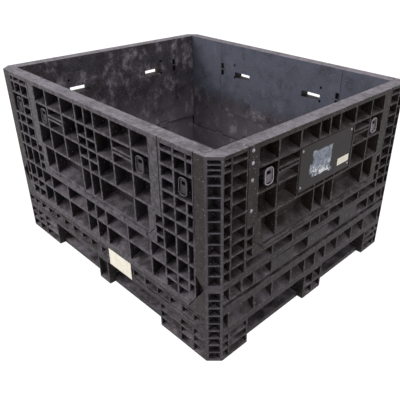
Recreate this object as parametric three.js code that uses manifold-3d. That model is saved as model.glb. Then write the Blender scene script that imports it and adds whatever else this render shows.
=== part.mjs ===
// Collapsible bulk container: a nine-footed pallet base, four ribbed walls
// with a drop door in each, steel hinge rods and sliding bolts.
// Millimetres, +Z up, origin on the ground under the middle of the base.
import * as THREE from 'three';
import { mergeVertices } from 'three/addons/utils/BufferGeometryUtils.js';
import Module from 'manifold-3d';

const wasm = await Module();
wasm.setup();

// Overall sizes
const LENGTH = 1448;
const WIDTH = 1219;
const HEIGHT = 850;
const CORNER = 42;

// Moulded sections
const WALL = 58;
const SKIN = 5;
const RIB = 7;
const RIM = 14;
const SEAT = 0.3;
const GAP = 2;
const CUT = 1;
const FLATNESS = 0.001;

// Base
const FORK_TOP = 125;
const FLOOR_TOP = 160;
const FRONT_SILL = 218;
const REAR_SILL = 280;
const END_SILL = 343;
const END_SIDE = 46;
const CORNER_FOOT_X = 313;
const CORNER_FOOT_Y = 180;
const MIDDLE_FOOT_X = 80;
const MIDDLE_FOOT_Y = 130;
const FOOT_GROOVES = [30, 56, 82];
const FOOT_GROOVE_HEIGHT = 13;
const FOOT_GROOVE_DEPTH = 10;
const FOOT_GROOVE_START = 34;
const FOOT_GROOVE_LENGTH = 120;
const FOOT_EDGE = 8;
const BASE_FIN_PITCH = 36;
const BOARD_SETBACK = 28;
const BOARD_WIDTH = 74;
const BOARD_THICK = 20;

// Corner posts of the end walls, and the tongues of the long walls behind them
const POST_REACH = 93;
const POST_FLANGE = 20;
const POST_POINT = 42;
const GUSSET_FOOT = 133;

// Doors
const DOOR_HALF = 455;
const DOOR_FLANGE = 43;
const DOOR_FLANGE_THICK = 20;
const DOOR_ABOVE_SILL = 98;
const DOOR_DROP = HEIGHT - END_SILL - DOOR_ABOVE_SILL;
const DOOR_TAIL = 112;
const DOOR_FLANGE_DROP = DOOR_DROP - DOOR_TAIL;
const DOOR_BEVEL = 34;
const DOOR_STILE = 8;
const DOOR_ROWS = [RIM, 90, 188, 290];
const DOOR_FOOT_RAIL = 9;
const DOOR_RIBS = [66, 180, 302];
const DOOR_MIDDLE_ROWS = [144, 236];
const DOOR_FOOT_SHIFT = 54;
const HANDHOLD_TOP = 150;
const HANDHOLD_HEIGHT = 33;
const SLATS = [127, 143];

// Door hinge
const BARREL_RADIUS = 8;
const BARREL_HALF = 364;
const BARREL_BELOW_DOOR = 12;
const BARREL_DROP = DOOR_DROP + BARREL_BELOW_DOOR;
const BARREL_OUT = 2;
const BARREL_PARTS = 5;
const ROD_RADIUS = 4;
const ROD_PLAY = 0.5;

// Wall hinge
const PIVOT_INSET = 9;
const KNUCKLE_WIDTH = 60;
const KNUCKLE_SPOTS = [0.15, 0.5, 0.85];
const PIVOT_ROD_SHORTER = 24;

// Bolts
const BOLT_RADIUS = 6;
const BOLT_PLAY = 0.4;
const BOLT_FACETS = 6;
const DOOR_BOLT_THROW = 18;
const BOLT_DROP = 141;
const DOOR_BOLT_DEPTH = 38;
const WALL_BOLT_DEPTH = 34;
const WALL_BOLT_THROW = 9;
const STRIKE_DEPTH = 26;
const PULL_SHARE = 0.41;
const PULL_HEIGHT = 56;
const PULL_THICK = 6;
const PULL_BAR = 9;

// Plates and labels
const PLATE_WIDTH = 342;
const PLATE_HEIGHT = 180;
const PLATE_THICK = 2;
const PLATE_DROP = 92;
const PLATE_SHIFT = -6;
const LABEL_WIDTH = 160;
const LABEL_HEIGHT = 84;
const LABEL_THICK = 0.6;
const LABEL_CENTRE = 145;
const LABEL_TOP = 213;
const TICKET_WIDTH = 80;
const TICKET_HEIGHT = 30;
const TICKET_CENTRE = 115;
const TICKET_DROP = 226;

const HALF_LENGTH = LENGTH / 2;
const HALF_WIDTH = WIDTH / 2;

const black = { color: 0x232225, roughness: 0.55, metalness: 0 };
const grey = { color: 0x38373a, roughness: 0.6, metalness: 0 };
const steel = { color: 0x6d6a66, roughness: 0.45, metalness: 0.9 };
const cream = { color: 0xf2eddc, roughness: 0.7, metalness: 0 };

// Shapes, in the frame of one side of the container: u runs along the side,
// w goes from its outer face inwards and z is the height above the ground.
const alongU = new THREE.Matrix4().makeBasis(
  new THREE.Vector3(0, 1, 0),
  new THREE.Vector3(0, 0, 1),
  new THREE.Vector3(1, 0, 0),
);
const intoW = new THREE.Matrix4().makeBasis(
  new THREE.Vector3(1, 0, 0),
  new THREE.Vector3(0, 0, 1),
  new THREE.Vector3(0, -1, 0),
);

function sweep(points, depth) {
  const shape = new THREE.Shape(points.map(([a, b]) => new THREE.Vector2(a, b)));
  return new THREE.ExtrudeGeometry(shape, { depth, bevelEnabled: false, steps: 1 });
}

// A (w, z) profile swept along the side.
function profileAlong(points, u0, u1) {
  return sweep(points, u1 - u0).applyMatrix4(alongU).translate(u0, 0, 0);
}

// A (u, z) outline given a thickness into the side.
function panel(points, w0, w1) {
  return sweep(points, w1 - w0).applyMatrix4(intoW).translate(0, w1, 0);
}

// A plan outline raised between two heights.
function raise(points, z0, z1) {
  return sweep(points, z1 - z0).translate(0, 0, z0);
}

function block(u0, u1, w0, w1, z0, z1) {
  const geometry = new THREE.BoxGeometry(u1 - u0, w1 - w0, z1 - z0);
  return geometry.translate((u0 + u1) / 2, (w0 + w1) / 2, (z0 + z1) / 2);
}

function roundBar(radius, u0, u1, w, z, facets = 8) {
  const geometry = new THREE.CylinderGeometry(radius, radius, u1 - u0, facets);
  return geometry.rotateZ(Math.PI / 2).translate((u0 + u1) / 2, w, z);
}

// Solids
function solid(geometry) {
  const bare = new THREE.BufferGeometry();
  bare.setAttribute('position', geometry.getAttribute('position').clone());
  if (geometry.index) bare.setIndex(geometry.index.clone());
  const merged = mergeVertices(bare, 1e-4);
  return new wasm.Manifold(new wasm.Mesh({
    numProp: 3,
    vertProperties: new Float32Array(merged.getAttribute('position').array),
    triVerts: new Uint32Array(merged.index.array),
  }));
}

function all(shapes) {
  return shapes.map(solid).reduce((sum, next) => sum.add(next));
}

function join(body, shapes) {
  return body.add(all(shapes));
}

function cut(body, shapes) {
  return body.subtract(all(shapes));
}

function meshOf(name, body, finish) {
  const data = body.asOriginal().simplify(FLATNESS).getMesh();
  const geometry = new THREE.BufferGeometry();
  geometry.setAttribute('position', new THREE.BufferAttribute(new Float32Array(data.vertProperties), 3));
  geometry.setIndex(new THREE.BufferAttribute(new Uint32Array(data.triVerts), 1));
  geometry.computeVertexNormals();
  const mesh = new THREE.Mesh(geometry, new THREE.MeshStandardMaterial(finish));
  mesh.name = name;
  return mesh;
}

// Sides: the long ones face -Y and +Y, the ends +X and -X.
const SIDES = {
  front: { turn: 0, at: [0, -HALF_WIDTH, 0], half: HALF_LENGTH, sill: FRONT_SILL },
  rear: { turn: Math.PI, at: [0, HALF_WIDTH, 0], half: HALF_LENGTH, sill: REAR_SILL },
  right: { turn: Math.PI / 2, at: [HALF_LENGTH, 0, 0], half: HALF_WIDTH, sill: END_SILL },
  left: { turn: -Math.PI / 2, at: [-HALF_LENGTH, 0, 0], half: HALF_WIDTH, sill: END_SILL },
};
const LONG_SIDES = ['front', 'rear'];
const END_SIDES = ['right', 'left'];

function toWorld(geometry, side) {
  const { turn, at } = SIDES[side];
  return geometry.rotateZ(turn).translate(...at);
}

function sideGroup(side, meshes) {
  const group = new THREE.Group();
  group.rotation.z = SIDES[side].turn;
  group.position.set(...SIDES[side].at);
  group.add(...meshes);
  return group;
}

// Rib patterns
const drop = (depth) => HEIGHT - depth;

// Clear cells between the centre lines of neighbouring ribs.
function cells(lines, rib = RIB) {
  return lines.slice(1).map((line, i) => [lines[i] + rib / 2, line - rib / 2]);
}

// A clear cell parted in two by a rib at a height.
const halves = ([z0, z1], middle) => cells([z0 - RIB / 2, middle, z1 + RIB / 2]);

// Rib lines at given shares of the way from one edge to another.
function divide(from, to, shares) {
  return [from, ...shares.map((share) => from + (to - from) * share), to];
}

// Evenly spaced rib lines.
function spread(from, to, steps) {
  return Array.from({ length: steps + 1 }, (_, i) => from + ((to - from) * i) / steps);
}

const mirrored = (lines) => [...lines.map((line) => -line).reverse(), 0, ...lines];

// A moulded pocket, open to the outside, whose floor climbs towards the skin.
function pocket([u0, u1], [z0, z1], depth, rise = 0) {
  const floor = Math.min(rise, (z1 - z0) * 0.8);
  return profileAlong([[-CUT, z0], [depth, z0 + floor], [depth, z1], [-CUT, z1]], u0, u1);
}

function both([u0, u1]) {
  return [[u0, u1], [-u1, -u0]];
}

function pocketGrid(columns, rows, depth, rise = 0) {
  return columns.flatMap((column) => rows.map((row) => pocket(column, row, depth, rise)));
}

const rowsBelowRim = (depths, rib = RIB) => cells(depths, rib).map(([a, b]) => [drop(b), drop(a)]);

// Hinge barrel of a door, shared by the door and the wall under it
const BARREL_PITCH = (2 * BARREL_HALF) / BARREL_PARTS;

function barrelParts(first) {
  const parts = [];
  for (let i = first; i < BARREL_PARTS; i += 2) {
    const start = -BARREL_HALF + i * BARREL_PITCH;
    parts.push([start + CUT / 2, start + BARREL_PITCH - CUT / 2]);
  }
  return parts;
}

const WALL_BARRELS = barrelParts(0);
const DOOR_BARRELS = barrelParts(1);
const doorRodHole = () => roundBar(ROD_RADIUS + ROD_PLAY, -BARREL_HALF - CUT, BARREL_HALF + CUT,
  -BARREL_OUT, drop(BARREL_DROP));

const DOOR_BODY = DOOR_HALF - DOOR_FLANGE;

function doorOutline(half, top, bottom, bevel) {
  return [
    [-half + bevel, bottom], [half - bevel, bottom], [half, bottom + bevel],
    [half, top], [-half, top], [-half, bottom + bevel],
  ];
}

// The opening that a door leaves in its wall: the body's outline right
// through, and a shallow step for the door's edge strips.
function doorOpening() {
  const body = doorOutline(DOOR_BODY + GAP, HEIGHT + CUT, drop(DOOR_DROP) - GAP, DOOR_BEVEL);
  const step = drop(DOOR_FLANGE_DROP) - GAP;
  return [
    panel(body, -CUT, WALL + CUT),
    block(-DOOR_HALF - GAP, DOOR_HALF + GAP, -CUT, DOOR_FLANGE_THICK + CUT, step, HEIGHT + CUT),
  ];
}

function wallBarrels() {
  const axis = drop(BARREL_DROP);
  return WALL_BARRELS.flatMap(([u0, u1]) => [
    roundBar(BARREL_RADIUS, u0, u1, -BARREL_OUT, axis),
    block(u0, u1, -BARREL_OUT, BARREL_RADIUS, axis - 2 * BARREL_RADIUS, axis),
  ]);
}

function doorBarrelNotches() {
  const axis = drop(BARREL_DROP);
  const reach = BARREL_RADIUS - BARREL_OUT + GAP;
  return DOOR_BARRELS.map(([u0, u1]) =>
    block(u0 - CUT, u1 + CUT, -CUT - BARREL_RADIUS, reach, axis - BARREL_RADIUS - GAP, drop(DOOR_DROP)));
}

const strikeHole = (half) => roundBar(BOLT_RADIUS + 2 * BOLT_PLAY, half, half + STRIKE_DEPTH,
  DOOR_BOLT_DEPTH, drop(BOLT_DROP), BOLT_FACETS);

const DOOR_BOLT_TAIL = DOOR_RIBS[2] - RIB / 2 - DOOR_BOLT_THROW - GAP;
const DOOR_BOLT_TIP = DOOR_BODY - CUT;
const DOOR_BOLT_CELL = [DOOR_RIBS[2] + RIB / 2, DOOR_BODY - DOOR_STILE];

// A drop door
function makeDoor(name) {
  const bottom = drop(DOOR_DROP);
  const axis = drop(BARREL_DROP);
  let body = solid(panel(doorOutline(DOOR_BODY, HEIGHT, bottom, DOOR_BEVEL), 0, WALL));
  body = join(body, [
    block(-DOOR_HALF, DOOR_HALF, 0, DOOR_FLANGE_THICK, drop(DOOR_FLANGE_DROP), HEIGHT),
    ...DOOR_BARRELS.flatMap(([u0, u1]) => [
      roundBar(BARREL_RADIUS, u0, u1, -BARREL_OUT, axis),
      block(u0, u1, -BARREL_OUT, BARREL_RADIUS - BARREL_OUT, axis, bottom + CUT),
    ]),
  ]);
  const depth = WALL - SKIN;
  const stile = DOOR_BODY - DOOR_STILE + RIB / 2;
  const [centre, inner, outer] = DOOR_RIBS;
  const columns = cells(mirrored([...DOOR_RIBS, stile]));
  const [topRow, boltRow, thirdRow] = rowsBelowRim(DOOR_ROWS);
  const footRow = [bottom + DOOR_FOOT_RAIL, drop(DOOR_ROWS[3]) - RIB / 2];
  const narrow = (u) => Math.abs(u) < centre;
  const slatted = (u) => Math.abs(u) > inner && Math.abs(u) < outer;
  const tools = pocketGrid(columns, [topRow], depth, 14);
  for (const column of columns) {
    const middle = (column[0] + column[1]) / 2;
    if (narrow(middle)) {
      tools.push(...pocketGrid([column], halves(boltRow, drop(DOOR_MIDDLE_ROWS[0])), depth));
      tools.push(...pocketGrid([column], halves(thirdRow, drop(DOOR_MIDDLE_ROWS[1])), depth));
    } else if (slatted(middle)) {
      const [upper, lower] = SLATS;
      const slatRows = rowsBelowRim([DOOR_ROWS[1], upper, lower]);
      tools.push(...pocketGrid([column], slatRows, depth));
      tools.push(block(column[0], column[1], -CUT, depth, boltRow[0], drop(lower) - RIB / 2));
      tools.push(block(column[0], column[1], -CUT, WALL + CUT,
        drop(HANDHOLD_TOP + HANDHOLD_HEIGHT), drop(HANDHOLD_TOP)));
      tools.push(pocket(column, thirdRow, depth, 16));
    } else {
      tools.push(pocket(column, boltRow, depth, 10));
      tools.push(pocket(column, thirdRow, depth, 16));
    }
  }
  const footColumns = cells(mirrored([centre, (inner + outer) / 2 + DOOR_FOOT_SHIFT, stile]));
  for (const column of footColumns) {
    const last = Math.abs(column[0] + column[1]) / 2 > outer;
    const inset = last ? Math.sign(column[0]) * DOOR_BEVEL * 0.7 : 0;
    const trimmed = [column[0] - Math.min(inset, 0), column[1] - Math.max(inset, 0)];
    tools.push(pocket(trimmed, footRow, depth, 24));
  }
  tools.push(doorRodHole());
  for (const way of [-1, 1]) {
    const [u0, u1] = [way * (DOOR_BOLT_TAIL - CUT), way * (DOOR_BODY + CUT)].sort((a, b) => a - b);
    tools.push(roundBar(BOLT_RADIUS + BOLT_PLAY, u0, u1, DOOR_BOLT_DEPTH, drop(BOLT_DROP), BOLT_FACETS));
  }
  return meshOf(name, cut(body, tools), black);
}

// Two sliding bolts, each with a flat pull frame in its cell, both drawn back.
function makeBolts(prefix, [tail, tip], [cellStart, cellEnd], travel, depth) {
  const z = drop(BOLT_DROP);
  const middle = (cellStart + cellEnd - travel) / 2;
  const halfPull = (cellEnd - cellStart) * PULL_SHARE / 2;
  const low = z - PULL_HEIGHT / 2;
  const high = z + PULL_HEIGHT / 2;
  const outer = PULL_THICK;
  return [-1, 1].map((way, n) => {
    const [u0, u1] = [way * tail, way * tip].sort((a, b) => a - b);
    const at = way * middle;
    const bolt = solid(roundBar(BOLT_RADIUS, u0, u1, depth, z, BOLT_FACETS));
    const frame = block(at - halfPull, at + halfPull, outer, outer + PULL_THICK, low, high);
    const neck = block(at - PULL_BAR / 2, at + PULL_BAR / 2, outer, depth, z - PULL_BAR / 2, z + PULL_BAR / 2);
    const window = block(at - halfPull + PULL_BAR, at + halfPull - PULL_BAR, outer - CUT,
      outer + PULL_THICK + CUT, z + PULL_BAR / 2, high - PULL_BAR);
    return meshOf(`${prefix}_${n + 1}`, cut(join(bolt, [frame, neck]), [window]), steel);
  });
}

function makeRod(name, half, w, z) {
  return meshOf(name, solid(roundBar(ROD_RADIUS, -half, half, w, z)), steel);
}

// Where a wall turns on its base: the axis lies inside the wall's lower
// inner edge, which is rounded about it.
const pivotW = WALL - PIVOT_INSET;
const pivotZ = (sill) => sill + SEAT + PIVOT_INSET;

function roundedFoot(sill, half) {
  const z = pivotZ(sill);
  const steps = 5;
  const arc = [];
  for (let i = 0; i <= steps; i += 1) {
    const angle = (i / steps) * (Math.PI / 2);
    arc.push([pivotW + PIVOT_INSET * Math.cos(angle), z - PIVOT_INSET * Math.sin(angle)]);
  }
  const corner = [[pivotW, z - PIVOT_INSET - CUT], [WALL + CUT, z - PIVOT_INSET - CUT], [WALL + CUT, z]];
  return profileAlong([...corner, ...arc], -half - CUT, half + CUT);
}

function knuckleSpots(half) {
  return KNUCKLE_SPOTS.map((share) => -half + 2 * half * share);
}

function knuckleNotches(sill, half) {
  const reach = PIVOT_INSET + GAP;
  return knuckleSpots(half).map((u) => block(u - KNUCKLE_WIDTH / 2 - CUT, u + KNUCKLE_WIDTH / 2 + CUT,
    pivotW - reach, WALL + CUT, sill - CUT, pivotZ(sill) + reach));
}

function knuckles(sill, half) {
  const z = pivotZ(sill);
  return knuckleSpots(half).flatMap((u) => [
    roundBar(PIVOT_INSET, u - KNUCKLE_WIDTH / 2, u + KNUCKLE_WIDTH / 2, pivotW, z),
    block(u - KNUCKLE_WIDTH / 2, u + KNUCKLE_WIDTH / 2, pivotW - PIVOT_INSET, WALL, sill - 2 * PIVOT_INSET, z),
  ]);
}

const pivotHole = (sill, half) =>
  roundBar(ROD_RADIUS + ROD_PLAY, -half - CUT, half + CUT, pivotW, pivotZ(sill));

// Long walls
const LONG_HALF = HALF_LENGTH - POST_REACH - CUT;
const TONGUE_HALF = HALF_LENGTH - WALL - GAP;
const LONG_PIVOT_HALF = LONG_HALF - PIVOT_ROD_SHORTER;
const END_LINES = divide(DOOR_HALF + 10, LONG_HALF - GAP, [0.42, 0.8]);
const WALL_BOLT_TAIL = END_LINES[1] - RIB / 2 - WALL_BOLT_THROW - GAP;
const WALL_BOLT_CELL = [END_LINES[1] + RIB / 2, END_LINES[3] - RIB / 2];
const JAMB_ROWS = divide(DOOR_FLANGE_DROP + 8, BARREL_DROP + 19, [1 / 3, 2 / 3]);
const FOLD_RAIL = 22;
const LOWER_ROWS = [69, 115];
const SIDE_ROWS = [RIM, 40, 92, 141, ...divide(189, JAMB_ROWS[3], [0.19, 0.41, 0.64])];

// The base corner's slanted edge, at a height, as a distance from the middle.
function gussetEdge(z) {
  const share = (z - FRONT_SILL) / (END_SILL - FRONT_SILL);
  return HALF_LENGTH - GUSSET_FOOT + share * (GUSSET_FOOT - END_SIDE);
}

function makeLongWall(side) {
  const { sill } = SIDES[side];
  const bottom = sill + SEAT;
  const slope = (GUSSET_FOOT - END_SIDE) / (END_SILL - FRONT_SILL);
  const foot = gussetEdge(sill) - 2 * GAP;
  const bevelTop = bottom + (LONG_HALF - foot) / slope;
  const lowCorner = foot < LONG_HALF - GAP ? [[foot, bottom], [LONG_HALF, bevelTop]] : [[LONG_HALF, bottom]];
  const rightEdge = [...lowCorner, [LONG_HALF, HEIGHT]];
  const leftEdge = rightEdge.map(([u, z]) => [-u, z]).reverse();
  const face = [...rightEdge, ...leftEdge];
  const hidden = POST_FLANGE + GAP;
  let body = solid(panel(face, 0, WALL));
  body = join(body, [block(-TONGUE_HALF, TONGUE_HALF, hidden, WALL, bottom, HEIGHT)]);
  body = cut(body, [...doorOpening(), roundedFoot(sill, TONGUE_HALF)]);
  body = join(body, wallBarrels());

  const depth = WALL - SKIN;
  const underBarrels = drop(JAMB_ROWS[3]);
  const lowerLines = [bottom + FOLD_RAIL - RIB / 2, ...LOWER_ROWS.map((row) => bottom + row), underBarrels];
  const upperRows = rowsBelowRim(SIDE_ROWS);
  const boltRows = [2, 3];
  const tools = [];
  cells(END_LINES).forEach((column, c) => {
    upperRows.forEach((row, r) => {
      const inBoltCell = c > 0 && boltRows.includes(r);
      if (!inBoltCell) tools.push(...pocketGrid(both(column), [row], depth, 8));
    });
    const rows = cells(lowerLines);
    if (c === 0) tools.push(...pocketGrid(both(column), rows, depth, 10));
    if (c === 1) tools.push(...pocketGrid(both(column), rows, depth, 10));
    if (c === 2) tools.push(...pocketGrid(both([column[0], column[1]]), rows.slice(1), POST_FLANGE - 2, 4));
  });
  const boltRow = [upperRows[boltRows[1]][0], upperRows[boltRows[0]][1]];
  tools.push(...pocketGrid(both(WALL_BOLT_CELL), [boltRow], depth, 8));
  const jamb = [DOOR_BODY + GAP + RIB, END_LINES[0] - RIB / 2];
  tools.push(...pocketGrid(both(jamb), rowsBelowRim(JAMB_ROWS), depth, 6));
  const lowerColumns = cells([-END_LINES[0], ...mirrored([76, 230, 378]), END_LINES[0]]);
  const lowerRows = cells([lowerLines[0], lowerLines[2], lowerLines[3]]);
  tools.push(...pocketGrid(lowerColumns, lowerRows, depth, 22));
  tools.push(...doorBarrelNotches());
  tools.push(doorRodHole());
  tools.push(...knuckleNotches(sill, LONG_PIVOT_HALF));
  tools.push(pivotHole(sill, LONG_PIVOT_HALF));
  tools.push(strikeHole(DOOR_BODY + GAP - CUT));
  tools.push(strikeHole(-DOOR_BODY - GAP + CUT - STRIKE_DEPTH));
  for (const [u0, u1] of both([WALL_BOLT_TAIL - CUT, TONGUE_HALF + CUT])) {
    tools.push(roundBar(BOLT_RADIUS + BOLT_PLAY, u0, u1, WALL_BOLT_DEPTH, drop(BOLT_DROP), BOLT_FACETS));
  }
  return meshOf(`${side}_wall`, cut(body, tools), black);
}

// End walls, with the corner posts that wrap round onto the long sides
const END_PIVOT_HALF = HALF_WIDTH - 2 * POST_REACH;
const POST_DROP = HEIGHT - END_SILL - 17;
const FIN_LINES = [8, 26, 44, 64, ...spread(96, POST_DROP, 9)];
const POST_ROWS = [10, 36, ...spread(80, POST_DROP, 8)];
const NARROW_ROWS = [10, 30, ...spread(56, POST_DROP, 9)];
const FIN = 5;
const NARROW_COLUMN = [44, 74];
const WIDE_COLUMN = [81, 147];

// Three-cornered slots between the fins of a side's two chamfered corners.
function cornerSlots(half, rows) {
  const near = half - CORNER + FIN;
  const deep = CORNER - FIN;
  const plan = [[near, deep - CORNER], [near + CORNER, deep], [near, deep]];
  const flipped = plan.map(([u, w]) => [-u, w]).reverse();
  return rows.flatMap(([z0, z1]) => [raise(plan, z0, z1), raise(flipped, z0, z1)]);
}

function makeEndWall(side) {
  const bottom = END_SILL + SEAT;
  const plan = [
    [-HALF_WIDTH + CORNER, 0], [HALF_WIDTH - CORNER, 0], [HALF_WIDTH, CORNER], [HALF_WIDTH, WALL],
    [-HALF_WIDTH, WALL], [-HALF_WIDTH, CORNER],
  ];
  const strip = [
    [CORNER, bottom], [POST_REACH - 22, bottom + POST_POINT / 3], [POST_REACH, bottom + POST_POINT],
    [POST_REACH, HEIGHT], [CORNER, HEIGHT],
  ];
  let body = solid(raise(plan, bottom, HEIGHT));
  body = join(body, [
    profileAlong(strip, HALF_WIDTH - POST_FLANGE, HALF_WIDTH),
    profileAlong(strip, -HALF_WIDTH, -HALF_WIDTH + POST_FLANGE),
  ]);
  body = cut(body, [...doorOpening(), roundedFoot(END_SILL, END_PIVOT_HALF + KNUCKLE_WIDTH)]);
  body = join(body, wallBarrels());

  const depth = WALL - SKIN;
  const fromCorner = ([a, b]) => [HALF_WIDTH - b, HALF_WIDTH - a];
  const finRows = rowsBelowRim(FIN_LINES, FIN);
  const tools = cornerSlots(HALF_WIDTH, finRows);
  tools.push(...pocketGrid(both(fromCorner(NARROW_COLUMN)), rowsBelowRim(NARROW_ROWS, FIN), depth, 4));
  tools.push(...pocketGrid(both(fromCorner(WIDE_COLUMN)), rowsBelowRim(POST_ROWS, FIN), depth, 8));
  const jamb = [DOOR_BODY + GAP + RIB, DOOR_HALF - RIB / 2];
  tools.push(...pocketGrid(both(jamb), rowsBelowRim(JAMB_ROWS), depth, 6));
  const lowerColumns = cells(mirrored([...DOOR_RIBS, DOOR_HALF]));
  const lowerRow = [bottom + FOLD_RAIL, drop(JAMB_ROWS[3]) - RIB / 2];
  tools.push(...pocketGrid(lowerColumns, [lowerRow], depth, 18));
  tools.push(...doorBarrelNotches());
  tools.push(doorRodHole());
  tools.push(...knuckleNotches(END_SILL, END_PIVOT_HALF));
  tools.push(pivotHole(END_SILL, END_PIVOT_HALF));
  tools.push(strikeHole(DOOR_BODY + GAP - CUT));
  tools.push(strikeHole(-DOOR_BODY - GAP + CUT - STRIKE_DEPTH));
  for (const way of [-1, 1]) {
    const hole = new THREE.CylinderGeometry(BOLT_RADIUS + 2 * BOLT_PLAY, BOLT_RADIUS + 2 * BOLT_PLAY,
      WALL_BOLT_THROW + CUT, BOLT_FACETS);
    tools.push(hole.translate(way * (HALF_WIDTH - WALL_BOLT_DEPTH),
      WALL + CUT - (WALL_BOLT_THROW + CUT) / 2, drop(BOLT_DROP)));
  }
  return meshOf(`${side}_end_wall`, cut(body, tools), black);
}

// Base
function rectangle(x, y, corner) {
  return [
    [-x + corner, -y], [x - corner, -y], [x, -y + corner], [x, y - corner],
    [x - corner, y], [-x + corner, y], [-x, y - corner], [-x, -y + corner],
  ];
}

function boardBoxes(play) {
  const x = HALF_LENGTH - BOARD_SETBACK + play;
  const y = HALF_WIDTH - BOARD_SETBACK + play;
  const wide = BOARD_WIDTH + 2 * play;
  const top = BOARD_THICK + play;
  const low = -play;
  return [
    block(-x, x, -y, -y + wide, low, top),
    block(-x, x, y - wide, y, low, top),
    block(-x, x, -wide / 2, wide / 2, low, top),
    block(-x, -x + wide, -y, y, low, top),
    block(x - wide, x, -y, y, low, top),
    block(-wide / 2, wide / 2, -y, y, low, top),
  ];
}

const FORK_X = [MIDDLE_FOOT_X / 2, HALF_LENGTH - CORNER_FOOT_X];
const FORK_Y = [MIDDLE_FOOT_Y / 2, HALF_WIDTH - CORNER_FOOT_Y];

function forkChannels() {
  return [
    ...both(FORK_X).map(([a, b]) => block(a, b, -HALF_WIDTH - CUT, HALF_WIDTH + CUT, -CUT, FORK_TOP)),
    ...both(FORK_Y).map(([a, b]) => block(-HALF_LENGTH - CUT, HALF_LENGTH + CUT, a, b, -CUT, FORK_TOP)),
  ];
}

// Grooves in the feet's faces on both sides of the fork channels of one side.
function footGrooves([near, far]) {
  const reach = FOOT_GROOVE_START + FOOT_GROOVE_LENGTH;
  return both([near - FOOT_GROOVE_DEPTH, far + FOOT_GROOVE_DEPTH]).flatMap(([a, b]) =>
    FOOT_GROOVES.map((z) => block(a, b, FOOT_GROOVE_START, reach, z, z + FOOT_GROOVE_HEIGHT)));
}

const LONG_BASE_LINES = [80, 160, 240, 320, 400, 476, 548, 614, 676];
const REAR_UPPER_LINES = [160, 320, 476, 614];
const LONG_FOOT_SHARES = [0.46, 0.74];

function longSideTools(side) {
  const tools = footGrooves(FORK_X);
  const top = SIDES[side].sill;
  const columns = cells(mirrored(LONG_BASE_LINES));
  tools.push(...pocketGrid(columns, [[FLOOR_TOP + 2, 193]], 30, 6));
  const reach = LONG_BASE_LINES[LONG_BASE_LINES.length - 1];
  tools.push(block(-reach, reach, -CUT, 14, 144, 154));
  tools.push(block(-reach, reach, -CUT, 12, 199, 206));
  if (top > FRONT_SILL) tools.push(...pocketGrid(cells(mirrored(REAR_UPPER_LINES)), [[214, top - 12]], 30, 8));
  const foot = HALF_LENGTH - CORNER_FOOT_X;
  const footColumns = cells(divide(foot + RIB / 2, HALF_LENGTH - END_SIDE, LONG_FOOT_SHARES));
  const footRows = [[8, 46], [53, 84], [91, 121]];
  tools.push(...pocketGrid(footColumns.flatMap(both), footRows, 26, 8));
  tools.push(pocket([-MIDDLE_FOOT_X / 2 + RIB, MIDDLE_FOOT_X / 2 - RIB], [8, 118], 26, 10));
  return tools;
}

const END_BASE_LINES = [75, 170, 290, 397, 536];
const END_PANEL_POCKETS = [[70, 165], [304, 400], [408, 468], [475, 530], [536, 565]];

function endSideTools() {
  const tools = footGrooves(FORK_Y);
  const depth = END_SIDE - 8;
  tools.push(...pocketGrid(END_PANEL_POCKETS.flatMap(both), [[279, 336]], depth, 18));
  tools.push(block(-565, 565, -CUT, 16, 254, 274));
  tools.push(...pocketGrid(cells(mirrored([...END_BASE_LINES, 568])), [[150, 224]], depth, 34));
  const foot = HALF_WIDTH - CORNER_FOOT_Y;
  const footRows = [[8, 46], [53, 84], [91, 121]];
  tools.push(...pocketGrid([[foot + RIB, 529], [536, 565]].flatMap(both), footRows, 26, 8));
  tools.push(...pocketGrid(both([RIB / 2, MIDDLE_FOOT_Y / 2 - RIB]), [[8, 52], [60, 118]], 30, 10));
  return tools;
}

function makeBase() {
  let body = solid(raise(rectangle(HALF_LENGTH, HALF_WIDTH, CORNER), 0, END_SILL));
  const inside = HALF_LENGTH - END_SIDE;
  body = cut(body, [
    block(-inside, inside, -HALF_WIDTH + WALL, HALF_WIDTH - WALL, FLOOR_TOP, HEIGHT),
    ...forkChannels(),
  ]);
  for (const side of LONG_SIDES) {
    const { sill } = SIDES[side];
    const foot = gussetEdge(sill);
    const head = gussetEdge(END_SILL + CUT);
    const slanted = [[-foot, sill], [foot, sill], [head, END_SILL + CUT], [-head, END_SILL + CUT]];
    body = cut(body, [
      panel(slanted, -CUT, POST_FLANGE + CUT),
      block(-inside, inside, POST_FLANGE, WALL + CUT, sill, END_SILL + CUT),
    ].map((tool) => toWorld(tool, side)));
    body = join(body, knuckles(sill, LONG_PIVOT_HALF).map((shape) => toWorld(shape, side)));
    const tools = [...longSideTools(side), pivotHole(sill, LONG_PIVOT_HALF)];
    body = cut(body, tools.map((tool) => toWorld(tool, side)));
  }
  const finLines = [];
  for (let z = FOOT_EDGE; z < END_SILL; z += BASE_FIN_PITCH) finLines.push(z);
  for (const side of END_SIDES) {
    body = join(body, knuckles(END_SILL, END_PIVOT_HALF).map((shape) => toWorld(shape, side)));
    const tools = [...endSideTools(), pivotHole(END_SILL, END_PIVOT_HALF),
      ...cornerSlots(HALF_WIDTH, cells(finLines, FIN))];
    body = cut(body, tools.map((tool) => toWorld(tool, side)));
  }
  body = cut(body, boardBoxes(SEAT));
  return meshOf('base_pallet', body, black);
}

const makeBoards = () => meshOf('base_runner_frame', all(boardBoxes(0)), grey);

// Plates and labels
function makeSheet(name, u, z, width, height, thick, outer, finish) {
  const sheet = block(u - width / 2, u + width / 2, outer - thick, outer, z - height / 2, z + height / 2);
  return meshOf(name, solid(sheet), finish);
}

// Assembly
const container = new THREE.Group();
container.add(makeBase(), makeBoards());

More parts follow.
